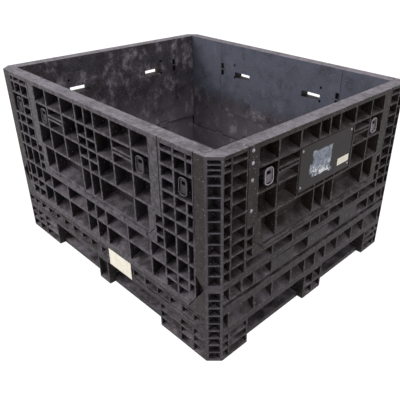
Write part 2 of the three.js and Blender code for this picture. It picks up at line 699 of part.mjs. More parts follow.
for (const side of [...LONG_SIDES, ...END_SIDES]) {
  const long = LONG_SIDES.includes(side);
  const { sill } = SIDES[side];
  const wall = long ? makeLongWall(side) : makeEndWall(side);
  const prefix = long ? side : `${side}_end`;
  const pivotHalf = long ? LONG_PIVOT_HALF : END_PIVOT_HALF;
  const parts = [
    wall,
    makeDoor(`${prefix}_door`),
    makeRod(`${prefix}_door_rod`, BARREL_HALF, -BARREL_OUT, drop(BARREL_DROP)),
    makeRod(`${prefix}_wall_rod`, pivotHalf, pivotW, pivotZ(sill)),
    ...makeBolts(`${prefix}_door_bolt`, [DOOR_BOLT_TAIL, DOOR_BOLT_TIP], DOOR_BOLT_CELL,
      DOOR_BOLT_THROW, DOOR_BOLT_DEPTH),
  ];
  if (long) {
    parts.push(...makeBolts(`${prefix}_wall_bolt`, [WALL_BOLT_TAIL, TONGUE_HALF - CUT], WALL_BOLT_CELL,
      WALL_BOLT_THROW, WALL_BOLT_DEPTH));
  }
  if (side === 'front') {
    parts.push(makeSheet('base_label', LABEL_CENTRE, LABEL_TOP - LABEL_HEIGHT / 2, LABEL_WIDTH, LABEL_HEIGHT,
      LABEL_THICK, -SEAT, cream));
  }
  if (side === 'right') {
    const plateZ = drop(PLATE_DROP) - PLATE_HEIGHT / 2;
    parts.push(makeSheet('placard_plate', PLATE_SHIFT, plateZ, PLATE_WIDTH, PLATE_HEIGHT,
      PLATE_THICK, -SEAT, grey));
    parts.push(makeSheet('placard_label', TICKET_CENTRE, drop(TICKET_DROP), TICKET_WIDTH, TICKET_HEIGHT,
      LABEL_THICK, -SEAT - PLATE_THICK - SEAT, cream));
  }
  container.add(sideGroup(side, parts));
}

export default container;
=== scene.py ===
import math

import bmesh
import bpy
from mathutils import Matrix, Vector, noise


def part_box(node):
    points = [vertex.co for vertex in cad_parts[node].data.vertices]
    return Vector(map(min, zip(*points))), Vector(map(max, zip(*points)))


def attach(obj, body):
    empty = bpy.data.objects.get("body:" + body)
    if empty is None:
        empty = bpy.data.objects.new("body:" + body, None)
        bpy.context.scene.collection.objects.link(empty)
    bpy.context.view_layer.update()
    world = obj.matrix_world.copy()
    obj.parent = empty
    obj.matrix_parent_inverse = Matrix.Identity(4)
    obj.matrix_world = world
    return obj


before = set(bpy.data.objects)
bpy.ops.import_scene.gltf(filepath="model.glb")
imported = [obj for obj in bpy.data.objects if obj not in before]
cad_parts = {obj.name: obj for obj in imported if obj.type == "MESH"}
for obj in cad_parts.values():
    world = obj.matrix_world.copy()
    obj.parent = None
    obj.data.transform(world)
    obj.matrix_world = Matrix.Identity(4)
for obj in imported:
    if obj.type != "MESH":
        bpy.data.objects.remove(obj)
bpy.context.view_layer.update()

MM = 0.001

# The container's own measures, which its dirt, its wear and its painted seam shade follow
BASE_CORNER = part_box("base_pallet")[1]
HALF_LENGTH = BASE_CORNER.x
HALF_WIDTH = BASE_CORNER.y
RIM_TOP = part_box("right_end_wall")[1].z
FLOOR_TOP = 160 * MM
WALL = 58 * MM
END_RAIL = 46 * MM
END_SILL = 343 * MM
CORNER = 42 * MM
DOOR_SEAM = 456 * MM
POST_SEAM = HALF_LENGTH - 93.5 * MM
SEAM_HALF = 2 * MM

# Where the photo was taken from
CAMERA_PLACE = Vector((1.6477, -1.5041, 1.4525))
CAMERA_AZIMUTH = math.radians(43.80)
CAMERA_ELEVATION = math.radians(29.22)
CAMERA_ROLL = math.radians(0.94)
SENSOR = 36
IMAGE_SIZE = 400
FOCAL_PIXELS = 487.9
MIDDLE_PIXEL = (229.7, 196.6)


def make_camera():
    """The camera with the photo's own place, roll and off-centre middle."""
    azimuth, elevation = CAMERA_AZIMUTH, CAMERA_ELEVATION
    back = Vector((
        math.sin(azimuth) * math.cos(elevation),
        -math.cos(azimuth) * math.cos(elevation),
        math.sin(elevation),
    ))
    level = Vector((math.cos(azimuth), math.sin(azimuth), 0))
    upright = back.cross(level)
    right = level * math.cos(CAMERA_ROLL) + upright * math.sin(CAMERA_ROLL)
    up = upright * math.cos(CAMERA_ROLL) - level * math.sin(CAMERA_ROLL)
    data = bpy.data.cameras.new("camera")
    data.sensor_width = SENSOR
    data.lens = SENSOR * FOCAL_PIXELS / IMAGE_SIZE
    data.shift_x = (IMAGE_SIZE / 2 - MIDDLE_PIXEL[0]) / IMAGE_SIZE
    data.shift_y = (MIDDLE_PIXEL[1] - IMAGE_SIZE / 2) / IMAGE_SIZE
    camera = bpy.data.objects.new("camera", data)
    turn = Matrix((right, up, back)).transposed().to_4x4()
    camera.matrix_world = Matrix.Translation(CAMERA_PLACE) @ turn
    bpy.context.scene.collection.objects.link(camera)
    bpy.context.scene.camera = camera


class Nodes:
    """Short calls for building a material's node tree."""

    def __init__(self, tree):
        self.tree = tree

    def add(self, kind, **settings):
        node = self.tree.nodes.new(kind)
        for name, value in settings.items():
            setattr(node, name, value)
        return node

    def feed(self, socket, value):
        """Links a socket into another, or writes a plain value on it."""
        if isinstance(value, bpy.types.NodeSocket):
            self.tree.links.new(value, socket)
        else:
            socket.default_value = value

    def maths(self, operation, first, second=0.0):
        node = self.add("ShaderNodeMath", operation=operation)
        self.feed(node.inputs[0], first)
        self.feed(node.inputs[1], second)
        return node.outputs[0]

    def times(self, first, *others):
        """The product of all the values, as masks are joined."""
        for other in others:
            first = self.maths("MULTIPLY", first, other)
        return first

    def mixed(self, first, second, weight):
        """The first noise with a share of the second on top."""
        return self.maths("ADD", first, self.times(second, weight))

    def either(self, first, *others):
        """The largest of the values, as masks are laid over each other."""
        for other in others:
            first = self.maths("MAXIMUM", first, other)
        return first

    def ramp(self, value, low, high, start=0.0, end=1.0):
        """A smooth step from start to end as value goes from low to high."""
        node = self.add("ShaderNodeMapRange", interpolation_type="SMOOTHSTEP")
        for socket, number in zip(node.inputs, (value, low, high, start, end)):
            self.feed(socket, number)
        return node.outputs[0]

    def blend(self, share, first, second):
        """Goes from the first colour to the second."""
        node = self.add("ShaderNodeMix", data_type="RGBA")
        self.feed(node.inputs[0], share)
        self.feed(node.inputs[6], first)
        self.feed(node.inputs[7], second)
        return node.outputs[2]

    def noise(self, place, scale, detail=3.0, rough=0.55):
        node = self.add("ShaderNodeTexNoise")
        self.feed(node.inputs["Vector"], place)
        self.feed(node.inputs["Scale"], scale)
        self.feed(node.inputs["Detail"], detail)
        self.feed(node.inputs["Roughness"], rough)
        return node.outputs["Fac"]

    def stretch(self, place, scale):
        """The same place with each axis scaled, for streaks."""
        node = self.add("ShaderNodeMapping")
        self.feed(node.inputs["Vector"], place)
        self.feed(node.inputs["Scale"], scale)
        return node.outputs["Vector"]

    def split(self, vector):
        node = self.add("ShaderNodeSeparateXYZ")
        self.feed(node.inputs[0], vector)
        return node.outputs

    def bump(self, height, distance, strength=1.0):
        node = self.add("ShaderNodeBump")
        self.feed(node.inputs["Height"], height)
        self.feed(node.inputs["Distance"], distance)
        self.feed(node.inputs["Strength"], strength)
        return node.outputs["Normal"]

    def edges(self, radius):
        """1 along convex and concave edges, 0 on flats."""
        rounded = self.add("ShaderNodeBevel", samples=4)
        self.feed(rounded.inputs["Radius"], radius)
        plain = self.add("ShaderNodeNewGeometry")
        both = self.add("ShaderNodeVectorMath", operation="DOT_PRODUCT")
        self.feed(both.inputs[0], rounded.outputs[0])
        self.feed(both.inputs[1], plain.outputs["Normal"])
        return self.ramp(both.outputs["Value"], 0.995, 0.80)


def start_material(name, roughness, specular):
    material = bpy.data.materials.new(name)
    material.use_nodes = True
    nodes = Nodes(material.node_tree)
    shader = material.node_tree.nodes["Principled BSDF"]
    shader.inputs["Roughness"].default_value = roughness
    shader.inputs["Specular IOR Level"].default_value = specular
    return material, nodes, shader


def grey(level, warmth=0.0):
    """A linear grey with the plastic's faint plum tint, pushed towards red by warmth."""
    return (level * (1.04 + warmth), level * 0.93, level * (1.08 - warmth), 1)


# Linear levels of the black plastic where it is clean, rubbed and dusty; the clean level also paints
# shade in the pockets, and the edge, seam, fin slot, rim and reflection levels paint light and shade
CLEAN_AND_POCKET_SHADE = 0.018
RUBBED = 0.030
WORN_EDGE_AND_HIGHLIGHT = 0.24
DUST = 0.27
INNER = 0.058
SMUDGE = 0.34
SPECK = 0.50
SEAM_SHADE = 0.004
FIN_SLOT_SHADE = 0.006
FIN_TIP = (0.04, 0.14)
RIM_SCUFF_AND_TOP_LIGHT = (0.045, 0.150)
REFLECTION_BLUE = (0.110, 0.118, 0.155, 1)

# How many times a metre each noise repeats
BROAD_SCALE = 4.0
BLOT_SCALE = 9.0
CLOUD_SCALE = 13.0
STREAK_SCALE = 15.0
PATCH_SCALE = 45.0
FINE_SCALE = 160.0
SPECK_SCALE = 190.0

# Heights in metres between which the dirt, the painted reflection and the painted seam shade grow or
# fade
SMEARED = (0.62, 0.18)
REFLECTION_HEIGHTS = (0.46, 0.60)
DUSTY = (0.55, 0.10)
SEAM_SHADE_HEIGHTS = (0.52, 0.54)


class Skin:
    """The places, directions and noises that a moulding's colours are made from."""

    def __init__(self, nodes, offset):
        coordinates = nodes.add("ShaderNodeTexCoord")
        place = coordinates.outputs["Object"]
        self.x, self.y, self.z = nodes.split(place)
        self.facing = nodes.split(coordinates.outputs["Normal"])
        self.along_x = nodes.maths("ABSOLUTE", self.x)
        self.along_y = nodes.maths("ABSOLUTE", self.y)
        self.at_end = nodes.ramp(self.along_x, HALF_LENGTH - 6 * MM, HALF_LENGTH - 1 * MM)
        self.at_side = nodes.ramp(self.along_y, HALF_WIDTH - 6 * MM, HALF_WIDTH - 1 * MM)
        shift = nodes.add("ShaderNodeVectorMath", operation="ADD")
        nodes.feed(shift.inputs[0], place)
        nodes.feed(shift.inputs[1], (offset, offset, offset))
        self.local = shift.outputs["Vector"]
        self.broad = nodes.noise(self.local, BROAD_SCALE, 3.0)
        self.cloud = nodes.noise(self.local, CLOUD_SCALE, 5.0, 0.65)
        self.patch = nodes.noise(self.local, PATCH_SCALE, 4.0, 0.6)
        self.fine = nodes.noise(self.local, FINE_SCALE, 4.0, 0.6)
        self.ledge = nodes.ramp(self.facing[2], 0.55, 0.95)


def line_mask(nodes, value, centre):
    """1 on a seam at a centre value, and 0 beyond it."""
    away = nodes.maths("ABSOLUTE", nodes.maths("SUBTRACT", value, centre))
    return nodes.ramp(away, SEAM_HALF + 1.5 * MM, SEAM_HALF)


def moulded_colour(nodes, skin, outer, warm):
    """Darker off the outer faces, partly painted shade in the pockets; paler on the outer faces, with
    rubbing marks and painted side light; pale on worn edges, with a painted highlight.
    """
    # Everything but the outer faces: the clean black, darkened as painted shade in the pockets and
    # recesses
    dark = nodes.blend(
        nodes.ramp(nodes.mixed(skin.broad, skin.cloud, 0.6), 0.6, 1.0),
        grey(CLEAN_AND_POCKET_SHADE * 0.55, 0.08 + warm),
        grey(CLEAN_AND_POCKET_SHADE * 1.5, 0.04 + warm),
    )
    # The outer faces: rubbed patches around a level that each body sets, and that level also paints how
    # light falls on its side
    rubbed_and_side_lit = nodes.blend(
        nodes.ramp(nodes.mixed(skin.patch, skin.fine, 0.7), 0.65, 1.05),
        grey(outer * 0.50, 0.02 + warm),
        grey(outer * 1.60, warm),
    )
    colour = nodes.blend(nodes.either(skin.at_end, skin.at_side), dark, rubbed_and_side_lit)
    # Worn edges, paler than the wear alone as a painted highlight along the rib edges
    wear_and_highlight = nodes.times(nodes.edges(3.5 * MM), nodes.ramp(skin.patch, 0.40, 0.62), 0.75)
    return nodes.blend(wear_and_highlight, colour, grey(WORN_EDGE_AND_HIGHLIGHT))


def inside_mask(nodes, skin):
    """1 on the faces that look into the container, above its floor."""
    upper = nodes.ramp(skin.z, END_SILL, END_SILL + 2 * MM, 0.0, WALL - END_RAIL - 1 * MM)
    inner_end = HALF_LENGTH - END_RAIL
    inner_side = HALF_WIDTH - WALL
    deep_x = nodes.ramp(nodes.maths("ADD", skin.along_x, upper), inner_end + 4 * MM, inner_end + 1 * MM)
    deep_y = nodes.ramp(skin.along_y, inner_side + 4 * MM, inner_side - 1 * MM)
    above_floor = nodes.ramp(skin.z, FLOOR_TOP - 6 * MM, FLOOR_TOP - 1 * MM)
    out_x = nodes.times(skin.facing[0], nodes.maths("SIGN", skin.x))
    out_y = nodes.times(skin.facing[1], nodes.maths("SIGN", skin.y))
    inward = nodes.ramp(nodes.either(out_x, out_y), 0.6, 0.4)
    return nodes.times(deep_x, deep_y, above_floor, inward)


def inner_colour(nodes, skin, colour, reflection_share):
    """Smeared paler towards the floor, with whitish smudges, dark blots and, where asked, a painted
    blue reflection high up.
    """
    inside = inside_mask(nodes, skin)
    tone = nodes.blend(nodes.ramp(skin.cloud, 0.3, 0.75), grey(INNER * 0.6), grey(INNER * 1.4))
    tone = nodes.blend(nodes.ramp(skin.z, *SMEARED, 0.0, 0.75), tone, grey(INNER * 3.4, 0.02))
    colour = nodes.blend(inside, colour, tone)
    streak = nodes.noise(nodes.stretch(skin.local, (1.0, 1.0, 0.75)), STREAK_SCALE, 7.0, 0.66)
    cloudy = nodes.ramp(skin.cloud, 0.35, 0.6, 0.25, 1.0)
    smudge = nodes.times(nodes.ramp(streak, 0.50, 0.68), inside, cloudy, 0.75)
    colour = nodes.blend(smudge, colour, grey(SMUDGE))
    blot = nodes.ramp(nodes.noise(skin.local, BLOT_SCALE, 6.0, 0.7), 0.56, 0.66)
    colour = nodes.blend(nodes.times(blot, inside, 0.6), colour, grey(CLEAN_AND_POCKET_SHADE * 0.8))
    # A painted blue reflection on the upper inner faces of the rear wall and door
    if reflection_share:
        high = nodes.ramp(skin.z, *REFLECTION_HEIGHTS)
        reflection = nodes.times(high, inside, reflection_share, nodes.ramp(skin.cloud, 0.15, 0.6, 0.35, 1.0))
        colour = nodes.blend(reflection, colour, REFLECTION_BLUE)
    return colour


def corner_colour(nodes, skin, colour):
    """Pale tips on the fins of the chamfered corners, with their slots painted black as shade."""
    near_x = nodes.ramp(skin.along_x, HALF_LENGTH - CORNER - 2 * MM, HALF_LENGTH - CORNER + 2 * MM)
    near_y = nodes.ramp(skin.along_y, HALF_WIDTH - CORNER - 2 * MM, HALF_WIDTH - CORNER + 2 * MM)
    chamfer = HALF_LENGTH + HALF_WIDTH - CORNER
    reach = nodes.maths("ADD", skin.along_x, skin.along_y)
    tips = nodes.ramp(reach, chamfer - 4 * MM, chamfer - 1 * MM)
    low_tip, high_tip = FIN_TIP
    fin = nodes.blend(tips, grey(FIN_SLOT_SHADE), nodes.blend(skin.patch, grey(low_tip), grey(high_tip)))
    return nodes.blend(nodes.times(near_x, near_y, 0.8), colour, fin)


def rim_colour(nodes, skin, colour):
    """The rim's top, paler as painted light from above, mottled with scuffs from what has been stacked
    on it.
    """
    on_rim = nodes.ramp(skin.z, RIM_TOP - 3 * MM, RIM_TOP - 1 * MM)
    low, high = RIM_SCUFF_AND_TOP_LIGHT
    scuffs_and_top_light = nodes.ramp(nodes.mixed(skin.cloud, skin.patch, 0.6), 0.55, 1.0)
    tone = nodes.blend(scuffs_and_top_light, grey(low), grey(high))
    return nodes.blend(nodes.times(on_rim, skin.ledge), colour, tone)


def seam_shade_colour(nodes, skin, colour):
    """Painted shade in the seams round the doors and between the long walls and the posts."""
    seam = nodes.either(
        nodes.times(line_mask(nodes, skin.along_x, DOOR_SEAM), skin.at_side),
        nodes.times(line_mask(nodes, skin.along_y, DOOR_SEAM), skin.at_end),
        nodes.times(line_mask(nodes, skin.along_x, POST_SEAM), skin.at_side),
    )
    return nodes.blend(nodes.times(seam, nodes.ramp(skin.z, *SEAM_SHADE_HEIGHTS)), colour, grey(SEAM_SHADE))


def plastic(name, outer=RUBBED, dust=1.0, reflection_share=0.0, warm=0.0, offset=0.0):
    """Black structural foam: rubbing marks on its outer faces, dusty on its ledges, smudged inside,
    with painted shade, painted highlights, painted side light and a painted reflection in its colour.
    """
    material, nodes, shader = start_material(name, 0.5, 0.16)
    skin = Skin(nodes, offset)
    colour = moulded_colour(nodes, skin, outer, warm)
    colour = inner_colour(nodes, skin, colour, reflection_share)
    colour = corner_colour(nodes, skin, colour)
    patchy = nodes.ramp(skin.cloud, 0.38, 0.72, 0.12, 1.0)
    settled = nodes.times(skin.ledge, patchy, nodes.ramp(skin.z, *DUSTY, 0.35, 0.9), dust)
    colour = nodes.blend(settled, colour, grey(DUST, 0.02))
    colour = rim_colour(nodes, skin, colour)
    colour = seam_shade_colour(nodes, skin, colour)
    speck = nodes.ramp(nodes.noise(skin.local, SPECK_SCALE, 1.0, 0.4), 0.725, 0.75)
    colour = nodes.blend(nodes.times(speck, 0.6), colour, grey(SPECK))
    nodes.feed(shader.inputs["Base Color"], colour)
    rough = nodes.maths("ADD", nodes.ramp(skin.fine, 0.3, 0.7, 0.38, 0.60), settled)
    nodes.feed(shader.inputs["Roughness"], rough)
    grain = nodes.mixed(skin.fine, skin.patch, 1.5)
    nodes.feed(shader.inputs["Normal"], nodes.bump(grain, 0.8 * MM, 0.4))
    return material


def steel(name, level, shine):
    """Zinc-plated wire and bar, dulled in patches."""
    material, nodes, shader = start_material(name, 0.4, 0.5)
    shader.inputs["Metallic"].default_value = shine
    place = nodes.add("ShaderNodeTexCoord").outputs["Object"]
    patch = nodes.noise(place, 60.0, 4.0, 0.6)
    tint = nodes.blend(nodes.ramp(patch, 0.35, 0.65), grey(level * 0.6, 0.04), grey(level, 0.0))
    nodes.feed(shader.inputs["Base Color"], tint)
    nodes.feed(shader.inputs["Roughness"], nodes.ramp(patch, 0.3, 0.7, 0.35, 0.6))
    nodes.feed(shader.inputs["Normal"], nodes.bump(patch, 0.3 * MM, 0.3))
    return material


CREAM = (0.93, 0.88, 0.76, 1)
SOILED_CREAM = (0.80, 0.74, 0.62, 1)


def label_paper(name):
    """Cream label stock with faint dirt and a soft sheen."""
    material, nodes, shader = start_material(name, 0.6, 0.3)
    place = nodes.add("ShaderNodeTexCoord").outputs["Object"]
    dirt = nodes.noise(place, 55.0, 5.0, 0.65)
    tint = nodes.blend(nodes.ramp(dirt, 0.35, 0.75), CREAM, SOILED_CREAM)
    nodes.feed(shader.inputs["Base Color"], tint)
    fibre = nodes.noise(place, 700.0, 2.0)
    nodes.feed(shader.inputs["Normal"], nodes.bump(fibre, 0.1 * MM, 0.3))
    return material


def plate_plastic(name):
    """The flat black placard, smooth with fine scratches."""
    material, nodes, shader = start_material(name, 0.45, 0.14)
    place = nodes.add("ShaderNodeTexCoord").outputs["Object"]
    cloud = nodes.noise(place, 18.0, 5.0, 0.6)
    scratch = nodes.noise(nodes.stretch(place, (1, 0.15, 1)), 260.0, 3.0)
    tint = nodes.blend(nodes.ramp(cloud, 0.3, 0.75), grey(0.018, 0.12), grey(0.034, 0.10))
    tint = nodes.blend(nodes.ramp(scratch, 0.62, 0.75, 0.0, 0.3), tint, grey(0.12))
    nodes.feed(shader.inputs["Base Color"], tint)
    nodes.feed(shader.inputs["Roughness"], nodes.ramp(cloud, 0.3, 0.7, 0.4, 0.58))
    nodes.feed(shader.inputs["Normal"], nodes.bump(scratch, 0.15 * MM, 0.25))
    return material


def soften(node, width):
    """Rounds a moulded node's edges, without a change to its own mesh."""
    flat = node.modifiers.new("merge_flats", "DECIMATE")
    flat.decimate_type = "DISSOLVE"
    flat.angle_limit = math.radians(1)
    bevel = node.modifiers.new("moulded_edges", "BEVEL")
    bevel.width = width
    bevel.segments = 2
    bevel.limit_method = "ANGLE"
    bevel.angle_limit = math.radians(35)
    bevel.use_clamp_overlap = True


def dress(node, material):
    """Gives a node one material in every slot it has."""
    slots = node.data.materials
    slots.clear()
    slots.append(material)


FLOOR_SIZE = 60
FLOOR_PALE = (0.8, 0.8, 0.8, 1)
FLOOR_GLOW = 1.15
GLOW_SHARE = 0.88
WORLD_LEVEL = 0.42


def seen_directly(nodes):
    """1 for the rays that see or mirror the surroundings, 0 for those that light the part."""
    path = nodes.add("ShaderNodeLightPath").outputs
    return nodes.either(path["Is Camera Ray"], path["Is Glossy Ray"], path["Is Transmission Ray"])


def make_stage():
    """A pale floor that looks white and keeps a faint shadow."""
    bpy.ops.mesh.primitive_plane_add(size=FLOOR_SIZE, location=(0, 0, 0))
    floor = bpy.context.active_object
    floor.name = "floor"
    material = bpy.data.materials.new("pale_floor")
    material.use_nodes = True
    nodes = Nodes(material.node_tree)
    output = material.node_tree.nodes["Material Output"]
    material.node_tree.nodes.remove(material.node_tree.nodes["Principled BSDF"])
    matt = nodes.add("ShaderNodeBsdfDiffuse")
    matt.inputs["Color"].default_value = FLOOR_PALE
    glow = nodes.add("ShaderNodeEmission")
    glow.inputs["Strength"].default_value = FLOOR_GLOW
    mixer = nodes.add("ShaderNodeMixShader")
    nodes.feed(mixer.inputs[0], nodes.times(seen_directly(nodes), GLOW_SHARE))
    nodes.feed(mixer.inputs[1], matt.outputs[0])
    nodes.feed(mixer.inputs[2], glow.outputs[0])
    nodes.feed(output.inputs["Surface"], mixer.outputs[0])
    floor.data.materials.append(material)


def make_world():
    """A world that shows white and lights the part more softly."""
    world = bpy.data.worlds.new("studio")
    bpy.context.scene.world = world
    world.use_nodes = True
    nodes = Nodes(world.node_tree)
    background = world.node_tree.nodes["Background"]
    background.inputs["Color"].default_value = (1, 1, 1, 1)
    strength = nodes.ramp(seen_directly(nodes), 0, 1, WORLD_LEVEL, 1.0)
    nodes.feed(background.inputs["Strength"], strength)


LIGHT_TARGET = Vector((0, 0, 0.4))
LIGHTS = {
    "key": ((-2.9, -4.1, 4.2), 3.5, 240),
    "overhead": ((0.3, 0.6, 4.6), 3.5, 150),
    "fill": ((4.6, -0.6, 2.4), 3.0, 24),
}


def area_light(name, place, size, power):
    """A square light of some watts that faces the container."""
    data = bpy.data.lights.new(name, "AREA")
    data.shape = "SQUARE"
    data.size = size
    data.energy = power
    lamp = bpy.data.objects.new(name, data)
    place = Vector(place)
    lamp.location = place
    lamp.visible_camera = False
    lamp.rotation_mode = "QUATERNION"
    lamp.rotation_quaternion = (LIGHT_TARGET - place).to_track_quat("-Z", "Y")
    bpy.context.scene.collection.objects.link(lamp)


# A side's own frame: u runs along it, w goes inwards from its outer face
SIDES = {
    "front": (Vector((0, -HALF_WIDTH, 0)), Vector((1, 0, 0)), Vector((0, 1, 0))),
    "rear": (Vector((0, HALF_WIDTH, 0)), Vector((-1, 0, 0)), Vector((0, -1, 0))),
    "right": (Vector((HALF_LENGTH, 0, 0)), Vector((0, 1, 0)), Vector((-1, 0, 0))),
    "left": (Vector((-HALF_LENGTH, 0, 0)), Vector((0, -1, 0)), Vector((1, 0, 0))),
}


def at(side, u, w, z):
    """A point of the row's frame, from a side's own millimetres and a height."""
    origin, along, into = SIDES[side]
    return origin + along * (u * MM) + into * (w * MM) + Vector((0, 0, z * MM))


def below_rim(drop):
    """A height in millimetres, from its distance under the rim."""
    return RIM_TOP / MM - drop


def link_mesh(name, points, faces, material, body, smooth=False):
    """A mesh piece with outward faces that rides on a body."""
    mesh = bpy.data.meshes.new(name)
    mesh.from_pydata([tuple(p) for p in points], [], faces)
    mesh.materials.append(material)
    mesh.update()
    draft = bmesh.new()
    draft.from_mesh(mesh)
    bmesh.ops.recalc_face_normals(draft, faces=draft.faces)
    draft.to_mesh(mesh)
    draft.free()
    if smooth:
        mesh.polygons.foreach_set("use_smooth", [True] * len(mesh.polygons))
    piece = bpy.data.objects.new(name, mesh)
    bpy.context.scene.collection.objects.link(piece)
    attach(piece, body)
    return piece


def add_rings(faces, first, rings, steps):
    """Joins rings of points into a closed skin, with a face over each end."""
    for ring in range(rings - 1):
        for step in range(steps):
            a = first + ring * steps + step
            b = first + ring * steps + (step + 1) % steps
            faces.append((a, b, b + steps, a + steps))
    last = first + (rings - 1) * steps
    faces.append(tuple(range(last, last + steps)))
    faces.append(tuple(range(first, first + steps)))


# A rivet head's (radius, height) rings in millimetres
RIVET_PROFILE = ((5.6, 0.0), (5.6, 0.5), (4.4, 0.9), (3.9, 1.7), (2.6, 2.5), (1.1, 2.9))
RIVET_SIDES = 16


def rivet_mesh(side, u, w, z, size, points, faces):
    """Adds a domed head on a thin collar, turned round its own axis."""
    first = len(points)
    for radius, height in RIVET_PROFILE:
        for step in range(RIVET_SIDES):
            turn = math.tau * step / RIVET_SIDES
            du = math.cos(turn) * radius * size
            dz = math.sin(turn) * radius * size
            points.append(at(side, u + du, w - height * size, z + dz))
    add_rings(faces, first, len(RIVET_PROFILE), RIVET_SIDES)


def make_rivets(name, side, spots, w, size, material, body):
    """Rivet heads of one size at (u, drop) spots, as one piece."""
    points, faces = [], []
    for u, drop in spots:
        rivet_mesh(side, u, w, below_rim(drop), size, points, faces)
    piece = link_mesh(name, points, faces, material, body, smooth=True)


def rounded_loop(half_u, half_z, corner, steps=5):
    """Points round a rectangle with round corners, as (u, z) offsets."""
    points = []
    corners = ((1, 1, 0), (-1, 1, 1), (-1, -1, 2), (1, -1, 3))
    for way_u, way_z, quarter in corners:
        for step in range(steps + 1):
            turn = (quarter + step / steps) * math.pi / 2
            points.append((
                way_u * (half_u - corner) + math.cos(turn) * corner,
                way_z * (half_z - corner) + math.sin(turn) * corner,
            ))
    return points


def make_wire(name, points, thickness, material, body):
    """A closed loop of round wire through the points."""
    curve = bpy.data.curves.new(name, "CURVE")
    curve.dimensions = "3D"
    curve.bevel_depth = thickness * MM / 2
    curve.bevel_resolution = 3
    spline = curve.splines.new("POLY")
    spline.points.add(len(points) - 1)
    for spot, place in zip(spline.points, points):
        spot.co = (*place, 1)
    spline.use_cyclic_u = True
    curve.materials.append(material)
    piece = bpy.data.objects.new(name, curve)
    bpy.context.scene.collection.objects.link(piece)
    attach(piece, body)


# A bail's millimetres, and how far from the middle of a side each pull stands
BAIL_WIRE = 3.2
BAIL_PROUD = 4.5
BAIL_LEAN = 3.0
BAIL_TALL = 62
BAIL_WIDE = {"door": 42, "wall": 40}
BAIL_CORNER = 0.36
PULL_PLACE = {"door": 345.7, "wall": 576.2}


def make_bail(bolt, kind, side, wire):
    """The wire bail that hangs in front of a bolt's pull."""
    low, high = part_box(bolt)
    origin, along, into = SIDES[side]
    ends = sorted(((low - origin).dot(along), (high - origin).dot(along)))
    tail_first = abs(ends[0]) < abs(ends[1])
    pull = PULL_PLACE[kind] * (1 if tail_first else -1)
    middle = (low.z + high.z) / 2 / MM
    wide = BAIL_WIDE[kind]
    points = []
    for u, z in rounded_loop(wide / 2, BAIL_TALL / 2, wide * BAIL_CORNER):
        lean = BAIL_LEAN * (0.5 - z / BAIL_TALL)
        points.append(at(side, pull + u, BAIL_PROUD - lean, middle + z))
    make_wire(f"{bolt}_bail", points, BAIL_WIRE, wire, bolt)


# A torn sheet's rings, as shares of its outline, and its thickness in millimetres
SHEET_STEPS = 72
SHEET_ROWS = (1.0, 0.86, 0.6, 0.3)
SHEET_LIFT = 0.25
LONGEST_REACH = 1.42


def ragged_patch(name, side, centre_u, drop, width, height, w, seed, material, body):
    """What is left of a torn sheet: a thin patch with a ragged outline."""
    points, faces = [], []
    for share in SHEET_ROWS:
        for step in range(SHEET_STEPS):
            turn = math.tau * step / SHEET_STEPS
            c, s = math.cos(turn), math.sin(turn)
            reach = 1 / max(abs(c), abs(s))
            torn = noise.noise(Vector((c * 2.2 + seed, s * 2.2, seed)))
            frayed = noise.noise(Vector((c * 9 + seed, s * 9, seed * 2)))
            reach *= 0.92 + 0.10 * torn + 0.07 * frayed
            reach = min(reach * share, LONGEST_REACH)
            lift = SHEET_LIFT if share < 1 else 0.0
            points.append(at(
                side,
                centre_u + c * reach * width / 2,
                w - lift,
                below_rim(drop) + s * reach * height / 2,
            ))
    add_rings(faces, 0, len(SHEET_ROWS), SHEET_STEPS)
    return link_mesh(name, points, faces, material, body)


def soft_plate(name, side, us, ws, drops, edge, material, body):
    """A small moulded block with rounded edges, between pairs of distances."""
    points = [at(side, u, w, below_rim(d)) for u in us for w in ws for d in drops]
    faces = [(0, 1, 3, 2), (4, 6, 7, 5), (0, 4, 5, 1), (2, 3, 7, 6), (0, 2, 6, 4), (1, 5, 7, 3)]
    piece = link_mesh(name, points, faces, material, body)
    bevel = piece.modifiers.new("edges", "BEVEL")
    bevel.width = edge * MM
    bevel.segments = 3
    return piece


STICKER_DARK = (0.16, 0.18, 0.23, 1)
STICKER_PALE = (0.30, 0.33, 0.39, 1)
STICKER_WHITE = (0.80, 0.80, 0.82, 1)
STICKER_SPOT = (0.09, 0.09, 0.11, 1)


def sticker_paper(name):
    """Weathered blue-grey sticker remains, whiter towards their lower edge."""
    material, nodes, shader = start_material(name, 0.7, 0.3)
    place = nodes.add("ShaderNodeTexCoord").outputs["Object"]
    torn = nodes.noise(place, 38.0, 6.0, 0.75)
    fine = nodes.noise(place, 150.0, 4.0, 0.7)
    tint = nodes.blend(nodes.ramp(torn, 0.42, 0.55), STICKER_DARK, STICKER_PALE)
    height = nodes.split(place)[2]
    whiter = nodes.ramp(height, RIM_TOP - 0.17, RIM_TOP - 0.23, 0.0, 0.10)
    bare = nodes.ramp(nodes.maths("ADD", torn, whiter), 0.58, 0.64)
    tint = nodes.blend(bare, tint, STICKER_WHITE)
    tint = nodes.blend(nodes.ramp(fine, 0.60, 0.68, 0.0, 0.7), tint, STICKER_SPOT)
    nodes.feed(shader.inputs["Base Color"], tint)
    nodes.feed(shader.inputs["Normal"], nodes.bump(torn, 0.4 * MM, 0.5))
    return material


def dark_socket(name):
    """The unlit inside of a latch socket."""
    material, nodes, shader = start_material(name, 0.9, 0.05)
    place = nodes.add("ShaderNodeTexCoord").outputs["Object"]
    patch = nodes.noise(place, 80.0, 3.0)
    nodes.feed(shader.inputs["Base Color"], nodes.blend(patch, grey(0.002), grey(0.008)))
    return material


# Metres by which edges are rounded
MOULDED_EDGE = 1.2 * MM
PLATE_EDGE = 0.5 * MM


